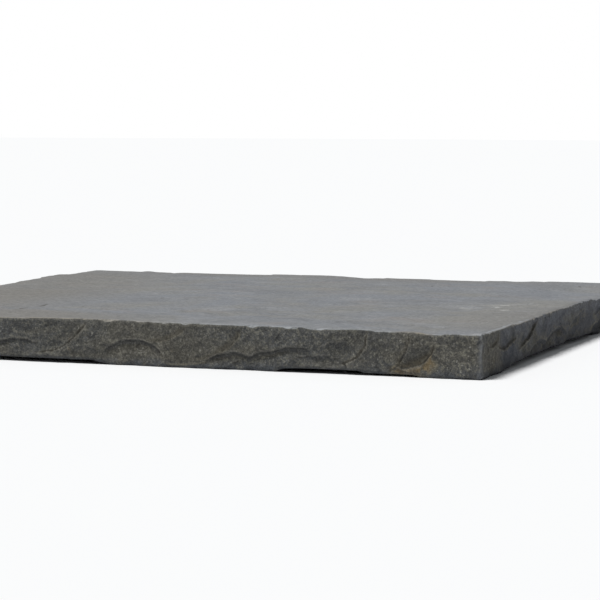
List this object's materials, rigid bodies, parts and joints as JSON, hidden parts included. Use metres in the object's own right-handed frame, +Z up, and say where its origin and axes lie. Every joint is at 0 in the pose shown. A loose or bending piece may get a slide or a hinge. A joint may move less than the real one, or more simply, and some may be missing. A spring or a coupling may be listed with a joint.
{
  "type": "sandstone paving slab",
  "caption": "Square hand-dressed sandstone paving slab with a cleft top face, chiselled edges and a flat bed.",
  "frame": {"origin": "centre of the slab's box on the plane of its flat bed", "axes": "+Z up out of the cleft walking face, +X along the front edge, +Y from the front edge to the back edge"},
  "size_m": [0.6022, 0.602, 0.0385],
  "materials": {
    "sandstone": "matte cleft grey sandstone, darker and rougher on the dressed edges"
  },
  "bodies": {
    "root": {"slab": "sandstone"}
  },
  "joints": []
}
